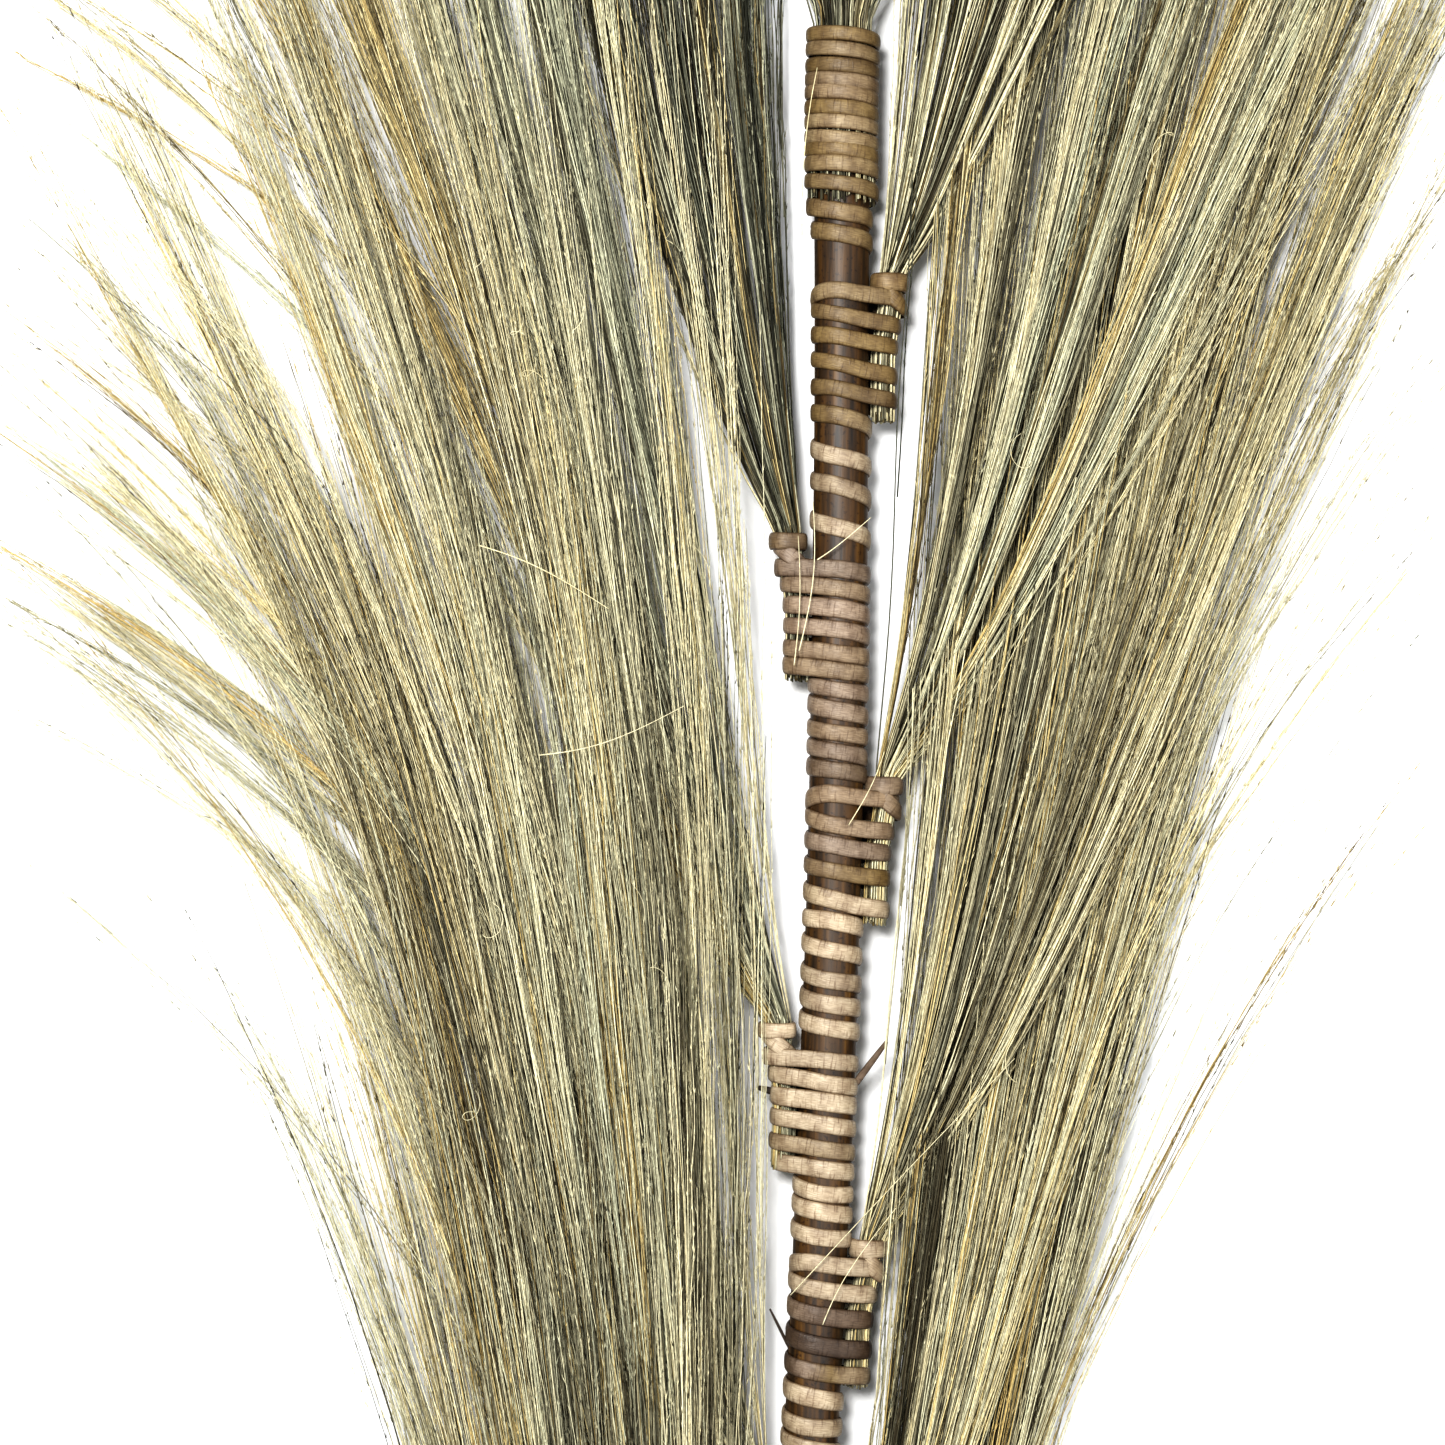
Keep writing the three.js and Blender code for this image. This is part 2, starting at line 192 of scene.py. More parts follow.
def srgb(code):
    """Linear colour of a hex code such as d3cb99."""
    channels = [int(code[i : i + 2], 16) / 255 for i in (0, 2, 4)]
    return tuple(c / 12.92 if c <= 0.04045 else ((c + 0.055) / 1.055) ** 2.4 for c in channels)


def colour_ramp(nodes, links, value, stops):
    """The colour that a ramp gives a value. A stop has a place, and a hex code or a linear colour."""
    node = nodes.new("ShaderNodeValToRGB")
    ramp = node.color_ramp
    while len(ramp.elements) < len(stops):
        ramp.elements.new(0.5)
    for element, (place, colour) in zip(ramp.elements, stops):
        element.position = place
        element.color = (*(srgb(colour) if isinstance(colour, str) else colour), 1)
    links.new(value, node.inputs[0])
    return node.outputs[0]


def mix(nodes, links, kind, share, first, second):
    """Mixes two colours. Each argument after kind is a value or a socket."""
    node = nodes.new("ShaderNodeMix")
    node.data_type = "RGBA"
    node.blend_type = kind
    for socket, value in ((node.inputs[0], share), (node.inputs[6], first), (node.inputs[7], second)):
        if isinstance(value, bpy.types.NodeSocket):
            links.new(value, socket)
        else:
            socket.default_value = value
    return node.outputs[2]


def noise(nodes, links, vector, scale, detail=2.0):
    node = nodes.new("ShaderNodeTexNoise")
    node.inputs["Scale"].default_value = scale
    node.inputs["Detail"].default_value = detail
    links.new(vector, node.inputs["Vector"])
    return node.outputs["Fac"]


def stretched(nodes, links, vector, scale):
    """A pattern's place, scaled along each axis."""
    node = nodes.new("ShaderNodeMapping")
    node.inputs["Scale"].default_value = scale
    links.new(vector, node.inputs[0])
    return node.outputs[0]


def add_bump(nodes, links, shader, height):
    node = nodes.new("ShaderNodeBump")
    node.inputs["Strength"].default_value = BUMP_STRENGTH
    node.inputs["Distance"].default_value = BUMP_DISTANCE
    links.new(height, node.inputs["Height"])
    links.new(node.outputs[0], shader.inputs["Normal"])


def combined(nodes, links, x, y):
    node = nodes.new("ShaderNodeCombineXYZ")
    links.new(x, node.inputs[0])
    links.new(y, node.inputs[1])
    return node.outputs[0]


def grass_material():
    """Dried grass: tint goes from grey-green through straw to ochre, tone from shaded brown to bleached."""
    material, nodes, links = new_material("dried_grass")
    shader = nodes["Principled BSDF"]
    tone, tint = attribute(nodes, "tone"), attribute(nodes, "tint")
    dark = colour_ramp(nodes, links, tint, [(0.0, "212318"), (0.5, "2e2817"), (1.0, "3a2e18")])
    pale = [(0.0, "d3d5bd"), (0.3, "e6e2c4"), (0.55, "f3ebc9"), (0.8, "eadcab"), (1.0, "cdb67d")]
    light = colour_ramp(nodes, links, tint, pale)
    greys = [(0.0, 0.0), (0.35, 0.24), (0.65, 0.72), (1.0, 1.0)]
    contrast = colour_ramp(nodes, links, tone, [(place, (grey,) * 3) for place, grey in greys])
    colour = mix(nodes, links, "MIX", contrast, dark, light)
    coords = nodes.new("ShaderNodeTexCoord").outputs["Object"]
    speckle = noise(nodes, links, stretched(nodes, links, coords, (1, 0.3, 1)), 1400.0)
    shade = colour_ramp(nodes, links, speckle, [(0.35, (0.72, 0.7, 0.66)), (0.65, (1.14, 1.13, 1.1))])
    colour = mix(nodes, links, "MULTIPLY", 1.0, colour, shade)
    links.new(colour, shader.inputs["Base Color"])
    shader.inputs["Roughness"].default_value = 0.6
    shader.inputs["Specular IOR Level"].default_value = 0.3
    return material


def cane_material():
    """Split cane: hue picks its colour, tone its shade. It has fibres, blotches and cracks, painted shade on
    its curved edges and a faint painted highlight along its middle.
    """
    material, nodes, links = new_material("split_cane")
    shader = nodes["Principled BSDF"]
    hue, tone = attribute(nodes, "hue"), attribute(nodes, "tone")
    along, across, edge = attribute(nodes, "run"), attribute(nodes, "across"), attribute(nodes, "edge")
    hues = [(0.0, "40342c"), (0.15, "5e5044"), (0.35, "897c70"), (0.55, "786746")]
    hues += [(0.8, "ada18f"), (1.0, "b6ab99")]
    colour, heights = colour_ramp(nodes, links, hue, hues), []
    # Fibres, blotches and cracks: the stretch along and across the strip, the noise's scale and detail, the
    # shades of its low and high values, and the share that shows.
    layers = [
        ((0.12, 1.0, 1), 2.4, 4.0, (0.36, (0.7, 0.66, 0.62)), (0.64, (1.12, 1.11, 1.09)), 0.9),
        ((0.16, 0.1, 1), 1.0, 3.0, (0.36, (0.68, 0.62, 0.56)), (0.6, (1.1, 1.09, 1.06)), 0.9),
        ((1.0, 0.12, 1), 1.1, 4.0, (0.33, (0.5, 0.42, 0.36)), (0.46, (1.03, 1.02, 1.0)), 0.75),
    ]
    for stretch, scale, detail, low, high, share in layers:
        place = stretched(nodes, links, combined(nodes, links, along, across), stretch)
        pattern = noise(nodes, links, place, scale, detail)
        heights.append(colour_ramp(nodes, links, pattern, [low, high]))
        colour = mix(nodes, links, "MULTIPLY", share, colour, heights[-1])
    # Painted shade darkens the strip's curved edges, and a faint painted highlight lifts its middle.
    painted_edge_shade_and_middle_light = [(0.0, (1.05, 1.04, 1.02)), (0.78, (1, 1, 1)), (0.99, (0.5, 0.43, 0.36))]
    colour = mix(nodes, links, "MULTIPLY", 1.0, colour, colour_ramp(nodes, links, edge, painted_edge_shade_and_middle_light))
    shades = [(0.0, (0.5, 0.46, 0.43)), (0.5, (1, 1, 1)), (1.0, (1.2, 1.18, 1.16))]
    colour = mix(nodes, links, "MULTIPLY", 1.0, colour, colour_ramp(nodes, links, tone, shades))
    links.new(colour, shader.inputs["Base Color"])
    shader.inputs["Roughness"].default_value = 0.45
    shader.inputs["Specular IOR Level"].default_value = 0.45
    add_bump(nodes, links, shader, mix(nodes, links, "MULTIPLY", 1.0, heights[0], heights[2]))
    return material


def bark_material():
    """Brown cane bark: streaks along the pole, with dark specks."""
    material, nodes, links = new_material("pole_bark")
    shader = nodes["Principled BSDF"]
    coords = nodes.new("ShaderNodeTexCoord").outputs["Object"]
    streaks = stretched(nodes, links, coords, (1, 0.06, 1))
    grain = noise(nodes, links, streaks, 420.0, 5.0)
    specks = noise(nodes, links, coords, 520.0)
    zones = noise(nodes, links, streaks, 60.0)
    browns = [(0.28, "1d1308"), (0.45, "3b2914"), (0.6, "52391a"), (0.78, "684c22")]
    colour = colour_ramp(nodes, links, grain, browns)
    zone_shade = colour_ramp(nodes, links, zones, [(0.35, (0.75, 0.72, 0.68)), (0.65, (1.1, 1.1, 1.05))])
    colour = mix(nodes, links, "MULTIPLY", 1.0, colour, zone_shade)
    speck_shade = colour_ramp(nodes, links, specks, [(0.3, (0.35, 0.28, 0.22)), (0.4, (1, 1, 1))])
    colour = mix(nodes, links, "MULTIPLY", 0.9, colour, speck_shade)
    links.new(colour, shader.inputs["Base Color"])
    shader.inputs["Roughness"].default_value = 0.5
    add_bump(nodes, links, shader, grain)
    return material


def pith_material():
    """The pole's sawn ends: pale wood with pores."""
    material, nodes, links = new_material("pole_end")
    shader = nodes["Principled BSDF"]
    coords = nodes.new("ShaderNodeTexCoord").outputs["Object"]
    pores = noise(nodes, links, coords, 900.0, 3.0)
    colour = colour_ramp(nodes, links, pores, [(0.35, "7a5d3d"), (0.5, "b8976a"), (0.7, "cdb083")])
    links.new(colour, shader.inputs["Base Color"])
    shader.inputs["Roughness"].default_value = 0.85
    return material


# ---------------- meshes


def new_mesh(name, points, quads, triangles=None, values=None):
    """A mesh from points (n, 3), quads (m, 4), triangles (k, 3) and named values for the points."""
    triangles = np.empty((0, 3), int) if triangles is None else triangles
    mesh = bpy.data.meshes.new(name)
    corners = np.concatenate([quads.ravel(), triangles.ravel()]).astype(np.int32)
    sizes = np.concatenate([np.full(len(quads), 4), np.full(len(triangles), 3)]).astype(np.int32)
    mesh.vertices.add(len(points))
    mesh.vertices.foreach_set("co", np.asarray(points, np.float32).ravel())
    mesh.loops.add(len(corners))
    mesh.loops.foreach_set("vertex_index", corners)
    mesh.polygons.add(len(sizes))
    mesh.polygons.foreach_set("loop_start", np.concatenate([[0], np.cumsum(sizes)[:-1]]).astype(np.int32))
    mesh.update(calc_edges=True)
    mesh.polygons.foreach_set("use_smooth", np.ones(len(sizes), bool))
    for key, value in (values or {}).items():
        layer = mesh.attributes.new(key, "FLOAT", "POINT")
        layer.data.foreach_set("value", np.asarray(value, np.float32).ravel())
    mesh.validate()
    return mesh, corners


def add_bake_map(mesh, corners, across, up):
    """A UV map that gives every straw of one tone the same place, so that it bakes small and clean."""
    layer = mesh.uv_layers.new(name="OFBake")
    uv = np.stack([np.asarray(across).ravel()[corners], np.asarray(up).ravel()[corners]], axis=-1)
    layer.data.foreach_set("uv", uv.astype(np.float32).ravel())


def add_piece(name, mesh, slot, *nodes):
    """A piece that rides on the body and takes the place of the nodes."""
    piece = bpy.data.objects.new(name, mesh)
    bpy.context.scene.collection.objects.link(piece)
    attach(piece, "root")
    if nodes:
        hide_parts(*nodes)
    return piece


STRAW_SIDES = 3
MAP_WIDTH = 0.002  # of a straw's faces on its map


def straw_tubes(paths, radii, twist):
    """Closed three-sided tubes along paths (n, k, 3) with radii (n, k)."""
    count, steps, _ = paths.shape
    tangent = np.gradient(paths, axis=1)
    tangent /= np.linalg.norm(tangent, axis=-1, keepdims=True) + 1e-12
    side = np.cross(tangent, np.array([0, 0, 1.0]))
    side /= np.linalg.norm(side, axis=-1, keepdims=True) + 1e-12
    over = np.cross(side, tangent)
    angles = twist[:, None, None] + 2 * np.pi * np.arange(STRAW_SIDES) / STRAW_SIDES
    rim = side[:, :, None, :] * np.cos(angles)[..., None] + over[:, :, None, :] * np.sin(angles)[..., None]
    points = paths[:, :, None, :] + radii[:, :, None, None] * rim
    index = np.arange(count * steps * STRAW_SIDES).reshape(count, steps, STRAW_SIDES)
    after = np.roll(index, -1, axis=2)
    quads = np.stack([index[:, :-1], after[:, :-1], after[:, 1:], index[:, 1:]], axis=-1).reshape(-1, 4)
    feet = index[:, 0, ::-1].reshape(-1, 3)
    tips = index[:, -1].reshape(-1, 3)
    return points.reshape(-1, 3), quads, np.concatenate([feet, tips])


def straw_piece(name, paths, radii, tone, tint, material, rng, node):
    """One piece with all straws of a kind. Tone and tint are (n, k), as the radii are."""
    count, steps, _ = paths.shape
    points, quads, triangles = straw_tubes(paths, radii, rng.uniform(0, 2 * np.pi, count))
    tones = np.repeat(np.clip(tone, 0, 0.99), STRAW_SIDES, axis=1)
    tints = np.repeat(np.clip(tint, 0, 0.99), STRAW_SIDES, axis=1)
    mesh, corners = new_mesh(name, points, quads, triangles, {"tone": tones, "tint": tints})
    width = np.tile([0, MAP_WIDTH, MAP_WIDTH / 2], steps)[None, :]
    height = np.repeat(np.arange(steps) % 2, STRAW_SIDES)[None, :] * MAP_WIDTH
    add_bake_map(mesh, corners, tones + width, tints + height)
    mesh.materials.append(material)
    return add_piece(name, mesh, "grass", node)


# ---------------- tufts

# How many of each a tuft has, and how many points draw one.
CULMS = 120
BRANCHES = 1450
SPIKELETS = 38000
CULM_POINTS = 40
BRANCH_POINTS = 15
TRIM_POINTS = 60  # at which a straw is tested against the room at the sides

# The tied end of a tuft.
BUNDLE_RADIUS = 5.0 * MM
COLLAR_HALF = 4 * MM
NECK_OUT = 21 * MM  # middle of a side tuft's neck, from the pole's axis
STEM_OUT = 17.6 * MM
STEP_LOW = 30 * MM  # below the neck, where the stems begin to step out to it
STEP_HIGH = 3 * MM
BUTT_RANGE = (-2.5 * MM, 3 * MM)  # how unevenly the stems were cut

# The plume. Shares are of its length.
PLUME_LENGTH = 715 * MM
TOP_LENGTH = 640 * MM
BLOOM = 55 * MM  # above the neck, where straws still lean out more
CURL = 26 * MM  # outward, of the outmost straws' tips
CURL_FROM = 0.45  # share of the way out at which straws begin to curl
THICKENED = 130 * MM  # above the neck, where the plume has doubled its thickness
THINS_FROM = 0.55
THINNING = 0.35
SAG = 12 * MM  # how far the outmost straws droop
FLATTENING = 0.45  # of the plume's outer part
FLAT_FROM, FLAT_TO = 70 * MM, 260 * MM  # from the pole's axis

# Radius at the foot and what is lost of it towards the tip.
CULM_RADIUS, CULM_TAPER = 0.45 * MM, 0.25 * MM
BRANCH_RADIUS, BRANCH_TAPER = 0.31 * MM, 0.19 * MM
SPIKELET_LENGTH = (1.8 * MM, 4.6 * MM)
SPIKELET_WIDTH = (0.2 * MM, 0.4 * MM)
SPIKELET_STRAY = (0.08, 0.4)  # how far its tip stands off the branch, in its lengths

# The top tuft: the ring of stems round the pole's end, and its plume.
RING_RADIUS = 12.3 * MM
RING_DEPTH = 1.6 * MM
TOP_RADIUS = 12.5 * MM  # above the pole's end
TOP_THICKER = 1.6  # than the other plumes
TOP_DROOP = 4 * MM

# What straws keep clear of.
POLE_KEEP = 14.6 * MM  # straws keep this far from the pole's axis
SLEEVE_KEEP = 17.4 * MM  # and this far beside the top tuft's stems
COLLAR_KEEP = 29 * MM
COLLAR_TOP = 29 * MM  # height at which straws pass over a collar
COLLAR_BELOW, COLLAR_ABOVE = 57 * MM, 8 * MM  # a neck, where straws make room for its collar
COLLAR_EASE = 45 * MM
FLOOR_GAP = 0.9 * MM
CEILING = 60 * MM
SIDE_LIMIT = 325 * MM  # straws end before they pass this, from the middle of the whole

# Lean of the inmost and outmost straws in degrees, how evenly they fill it (below 1: more straws outside),
# height gained over the other tufts, and mean tone and tint.
TUFTS = {
    "top": (-15, 15, 1.0, 0, 0.5, 0.2),
    "right_1": (1.5, 24, 1.0, 15 * MM, 0.66, 0.46),
    # left_1's low tone is partly painted shade, for a tuft that lies under the left plumes; its grey-green
    # tint is its own.
    "left_1": (0.3, 20, 1.0, 0, 0.4, 0.15),
    "right_2": (0.6, 30, 0.9, 15 * MM, 0.7, 0.32),
    "left_2": (6.0, 27, 1.0, 8 * MM, 0.73, 0.45),
    "right_3": (0.4, 25.5, 0.8, 14 * MM, 0.66, 0.38),
    "left_3": (1.6, 28, 0.8, 14 * MM, 0.7, 0.4),
    "right_4": (1.5, 14.5, 0.8, 14 * MM, 0.74, 0.42),
    "left_4": (1.2, 20.5, 0.95, 16 * MM, 0.64, 0.41),
    "right_5": (2.0, 10.5, 0.8, 12 * MM, 0.55, 0.36),
    "left_5": (1.0, 16.5, 1.0, 16 * MM, 0.6, 0.36),
}
# Share of the culms that bend out and how hard they may bend.
SPRAYS = {
    "left_2": (0.2, 2.6),
    "left_3": (0.25, 2.6),
    "left_4": (0.1, 0.9),
    "left_5": (0.12, 0.7),
    "right_3": (0.06, 0.7),
    "right_4": (0.08, 0.6),
    "right_5": (0.08, 0.5),
}
SPRAY_FROM = (0.22, 0.62)  # shares of the plume's length where bending straws turn out
SPRAY_TONE = 0.5  # no bending straw is darker
CLUMPS = 8  # in which a tuft's straws gather
CLUMPING = 0.5  # share of the way that a straw moves to the middle of its clump

# How straws run: shares of the plume's length, and lengths aside and up.
CULM_ENDS = (0.55, 0.97)
BRANCH_BEGINS = (0.01, 0.62)
BRANCH_LENGTHS = (0.28, 0.6)
BRANCH_LAST = (0.82, 1.0)  # no branch ends farther up
CURL_SPREAD = 10 * MM
CULM_WANDER = (2.2 * MM, 1.2 * MM)
BRANCH_WANDER = (0.62 * MM, 0.7 * MM)
BRANCH_STRAY = (7 * MM, 4.5 * MM)  # of the tips

# Tone and tint, from 0 to 1.
TONE_SPREAD = 0.27
TINT_SPREAD = 0.13
BRANCH_TONE_SPREAD = 0.23
BRANCH_TINT_SPREAD = 0.08
INNER_SHADE = 0.25  # painted shade: tone lost in the middle of a tuft, where the straws around it would shade it
OUTER_PALER = 0.26  # tone gained from the inmost to the outmost straws of a tuft
OUTER_WARMER = 0.2  # tint gained in the same way
BLEACHED = 0.13  # tone gained towards the tips
BLEACHED_FROM = 150 * MM  # above the neck
PATCHES = 7  # broad streaks across a tuft
PATCH_TONE, PATCH_TINT = 0.09, 0.13  # how much they differ
CLUMP_TONE, CLUMP_TINT = 0.07, 0.08
OCHRE_SHARE = 0.1  # of the culms
GOLDEN_ANGLE = np.pi * (3 - np.sqrt(5))


def disc_points(rng, count):
    """Places that fill the unit disc evenly, each a little off its even place."""
    number = np.arange(count) + 0.5
    radius = np.clip(np.sqrt(number / count) + rng.normal(0, 0.03, count), 0, 1)
    angle = GOLDEN_ANGLE * number + rng.normal(0, 0.1, count)
    return radius * np.cos(angle), radius * np.sin(angle)


def wander(rng, count, steps, size, waves):
    """Slow sideways wobble for each straw, (count, steps)."""
    along = np.linspace(0, 1, steps)[None, :]
    total = np.zeros((count, steps))
    for wave in range(1, waves + 1):
        phase = rng.uniform(0, 2 * np.pi, (count, 1))
        total += rng.normal(0, size / wave**0.7, (count, 1)) * np.sin(np.pi * wave * along * 1.7 + phase)
    return total


def window(y, low, high, ramp):
    """1 between low and high, falling to 0 within ramp on both sides."""
    return smooth(y, low - ramp, low) * (1 - smooth(y, high, high + ramp))


def stem_out(neck, y):
    """Distance of a side tuft's stems from the pole's axis at height y."""
    return STEM_OUT + (NECK_OUT - STEM_OUT) * smooth(y, neck - STEP_LOW, neck - STEP_HIGH)


class Plume:
    """Where the straws of one tuft run: out and up from its neck, round the collars of the tufts above it."""

    def __init__(self, tie):
        self.top = tie == "top"
        side_name = tie.split("_")[0]
        self.side = 1 if self.top else SIDES[side_name]
        self.neck = SLEEVE_BOTTOM + SLEEVE_LENGTH if self.top else NECK_OF[tie]
        self.foot = SLEEVE_BOTTOM if self.top else self.neck - STEM_LENGTH
        self.length = TOP_LENGTH if self.top else PLUME_LENGTH
        self.inner, self.outer, self.fill, self.lift, self.tone, self.tint = TUFTS[tie]
        self.bending, self.hardest_bend = SPRAYS.get(tie, (0, 1))
        same_side = [NECK_OF[other] for other in TIES if other.startswith(side_name)]
        self.collars = [neck for neck in same_side if neck > self.neck + MM]

    def path(self, straws, y):
        """Points of straws at heights y. A straw has a place (out, up) in the bundle, a lean, a curl, and a
        spray that bends it out from its turn on."""
        out, up, lean, curl, spray, turn = (values[:, None] for values in straws)
        above = np.maximum(y - self.neck - COLLAR_HALF, 0)
        share = above / self.length
        run = above + BLOOM * (1 - np.exp(-above / BLOOM))
        spread = np.tan(lean) * run + curl * share**3 + spray * np.maximum(0, share - turn) ** 2
        thinned = THINNING * smooth(above, THINS_FROM * self.length, self.length)
        thick = BUNDLE_RADIUS * (1 + smooth(above, 0, THICKENED) - thinned)
        if self.top:
            return self.top_path(out, up, spread, thick, y)
        reach = stem_out(self.neck, y) + out * BUNDLE_RADIUS + spread
        lift = self.lift * self.raised(above) * (1 - 0.35 * smooth(reach, 120 * MM, 300 * MM))
        outer = smooth(reach, FLAT_FROM, FLAT_TO)
        z = AXIS_Z + up * thick * (1 - FLATTENING * outer) + lift - SAG * outer
        keep = POLE_KEEP + (SLEEVE_KEEP - POLE_KEEP) * smooth(y, SLEEVE_BOTTOM - 14 * MM, SLEEVE_BOTTOM)
        for collar in self.collars:
            near = window(y, collar - COLLAR_BELOW, collar + COLLAR_ABOVE, COLLAR_EASE)
            over = smooth(up, -0.1, 0.35)
            keep = keep + (COLLAR_KEEP - POLE_KEEP) * near * (1 - over)
            inside = 1 - smooth(reach, COLLAR_KEEP, COLLAR_KEEP + 12 * MM)
            z = z + np.maximum(0, COLLAR_TOP + 2 * MM * up - z) * near * over * inside
        reach = reach + smooth(above, 0, 20 * MM) * np.maximum(0, keep - reach)
        return np.stack([bow(y) + self.side * reach, y, np.clip(z, FLOOR_GAP, CEILING)], axis=-1)

    def raised(self, above):
        """Share of its lift that the plume has. At the right a fan lies on the plumes from below it, at the
        left under them."""
        if self.side > 0:
            return smooth(above, 8 * MM, 75 * MM) * (1 - 0.7 * smooth(above, 130 * MM, 360 * MM))
        return smooth(above, 70 * MM, 400 * MM)

    def top_path(self, out, up, spread, thick, y):
        """The top tuft: a sleeve of stems round the pole's end, then a plume."""
        round_pole = 1 - smooth(y, POLE_TOP, POLE_TOP + 25 * MM)
        distance = np.sqrt(out**2 + up**2) + 1e-6
        ring = (RING_RADIUS + RING_DEPTH * distance) / distance
        scale = ring * round_pole + (1 - round_pole) * TOP_RADIUS
        plume = smooth(y, self.neck, self.neck + 90 * MM)
        x = bow(y) + out * scale + spread
        z = AXIS_Z + up * (scale * (1 - plume) + plume * thick * TOP_THICKER)
        z = z - TOP_DROOP * smooth(y, self.neck + 200 * MM, self.neck + 600 * MM)
        return np.stack([x, y, np.clip(z, FLOOR_GAP, CEILING)], axis=-1)

    def bleach(self, y):
        return BLEACHED * smooth(y, self.neck + BLEACHED_FROM, self.neck + self.length)

    def trimmed(self, straws, start, end, rng):
        """Ends brought down to where each straw would leave the room at the sides."""
        y = start[:, None] + (end - start)[:, None] * np.linspace(0, 1, TRIM_POINTS)
        x = np.abs(self.path(straws, y)[..., 0])
        past = x > SIDE_LIMIT * rng.uniform(0.8, 0.97, (len(start), 1))
        first = np.where(past.any(axis=1), past.argmax(axis=1), TRIM_POINTS - 1)
        return y[np.arange(len(start)), first]


def within(paths):
    """Keeps straws inside the room of the whole."""
    x = np.clip(paths[..., 0], -SIDE_LIMIT, SIDE_LIMIT)
    return np.stack([x, paths[..., 1], np.clip(paths[..., 2], FLOOR_GAP, CEILING)], axis=-1)


def make_tuft(tie, index, material):
    """Culms, panicle branches and spikelets of one tuft."""
    rng = np.random.default_rng(TUFT_SEED + index)
    gather = np.random.default_rng(CLUMPS_SEED + index)
    plume = Plume(tie)
    node = f"tuft_{tie}"
    straws, paths, radii, tone, tint, culm_colours = culms(plume, rng, gather)
    straw_piece(f"{tie}_straws", paths, radii, tone, tint, material, rng, node)
    paths, radii, tone, tint = branches(plume, straws, culm_colours, rng)
    straw_piece(f"{tie}_plume", paths, radii, tone, tint, material, rng, node)
    spikelet_piece(f"{tie}_spikelets", paths, tone, tint, material, rng, node)


def culms(plume, rng, gather):
    """The culms, from the cut butts through the neck into the plume."""
    out, up = disc_points(rng, CULMS)
    if plume.top:
        share_out = np.clip((out + 1) / 2 + rng.normal(0, 0.05, CULMS), 0, 1)
    else:
        share_out = np.clip((out + 1) / 2 * 0.75 + 0.25 * rng.uniform(0, 1, CULMS), 0, 1) ** plume.fill
    middles = (np.arange(CLUMPS) + 0.5 + gather.normal(0, 0.16, CLUMPS)) / CLUMPS
    clump = np.abs(share_out[:, None] - middles).argmin(axis=1)
    share_out = share_out + CLUMPING * (middles[clump] - share_out)
    lean = np.radians(plume.inner + (plume.outer - plume.inner) * share_out)
    curl = CURL * np.maximum(0, share_out - CURL_FROM) / (1 - CURL_FROM) + rng.normal(0, CURL_SPREAD, CULMS)
    bent = (rng.uniform(0, 1, CULMS) < plume.bending) & (share_out > 0.4)
    spray = bent * plume.hardest_bend * rng.uniform(0.12, 1, CULMS)
    turn = rng.uniform(*SPRAY_FROM, CULMS)
    lean = np.where(bent, np.radians(plume.outer) * rng.uniform(0.75, 1, CULMS), lean)
    straws = np.stack([out, up, lean, curl, spray, turn])

    foot = plume.foot + rng.uniform(*BUTT_RANGE, CULMS)
    end = plume.neck + plume.length * rng.uniform(*CULM_ENDS, CULMS)
    end = plume.trimmed(straws, foot, end, rng)
    share = np.linspace(0, 1, CULM_POINTS) ** 1.2
    y = foot[:, None] + (end - foot)[:, None] * share
    paths = plume.path(straws, y)
    far = smooth(y, plume.neck, plume.neck + 250 * MM)
    paths[..., 0] += far * wander(rng, CULMS, CULM_POINTS, CULM_WANDER[0], 5)
    paths[..., 2] += far * wander(rng, CULMS, CULM_POINTS, CULM_WANDER[1], 4)
    paths = within(paths)
    radii = (CULM_RADIUS - CULM_TAPER * share)[None, :] * rng.uniform(0.75, 1.2, (CULMS, 1))

    inside = 1 - np.sqrt(out**2 + up**2)
    patches = np.linspace(0, 1, PATCHES)
    tone_patch = np.interp(share_out, patches, rng.normal(0, PATCH_TONE, PATCHES))
    tone_patch += gather.normal(0, CLUMP_TONE, CLUMPS)[clump] + OUTER_PALER * (share_out - 0.5)
    tint_patch = np.interp(share_out, patches, rng.normal(0, PATCH_TINT, PATCHES))
    tint_patch += gather.normal(0, CLUMP_TINT, CLUMPS)[clump] + OUTER_WARMER * (share_out - 0.5)
    # Painted shade: straws deep in the tuft get a lower tone, as if the straws around them shaded them.
    culm_tone = rng.normal(plume.tone, TONE_SPREAD, CULMS) + tone_patch - INNER_SHADE * inside
    culm_tone = np.clip(culm_tone, 0.03, 0.95)
    culm_tone = np.where(bent, np.maximum(culm_tone, SPRAY_TONE), culm_tone)
    culm_tint = np.clip(rng.normal(plume.tint, TINT_SPREAD, CULMS) + tint_patch, 0, 1)
    culm_tint = np.where(rng.uniform(0, 1, CULMS) < OCHRE_SHARE, rng.uniform(0.8, 1, CULMS), culm_tint)
    tone = culm_tone[:, None] + plume.bleach(y) + wander(rng, CULMS, CULM_POINTS, 0.05, 6)
    tint = culm_tint[:, None] + 0.12 * (1 - smooth(y, plume.neck, plume.neck + 150 * MM))
    return straws, paths, radii, tone, tint, (culm_tone, culm_tint)


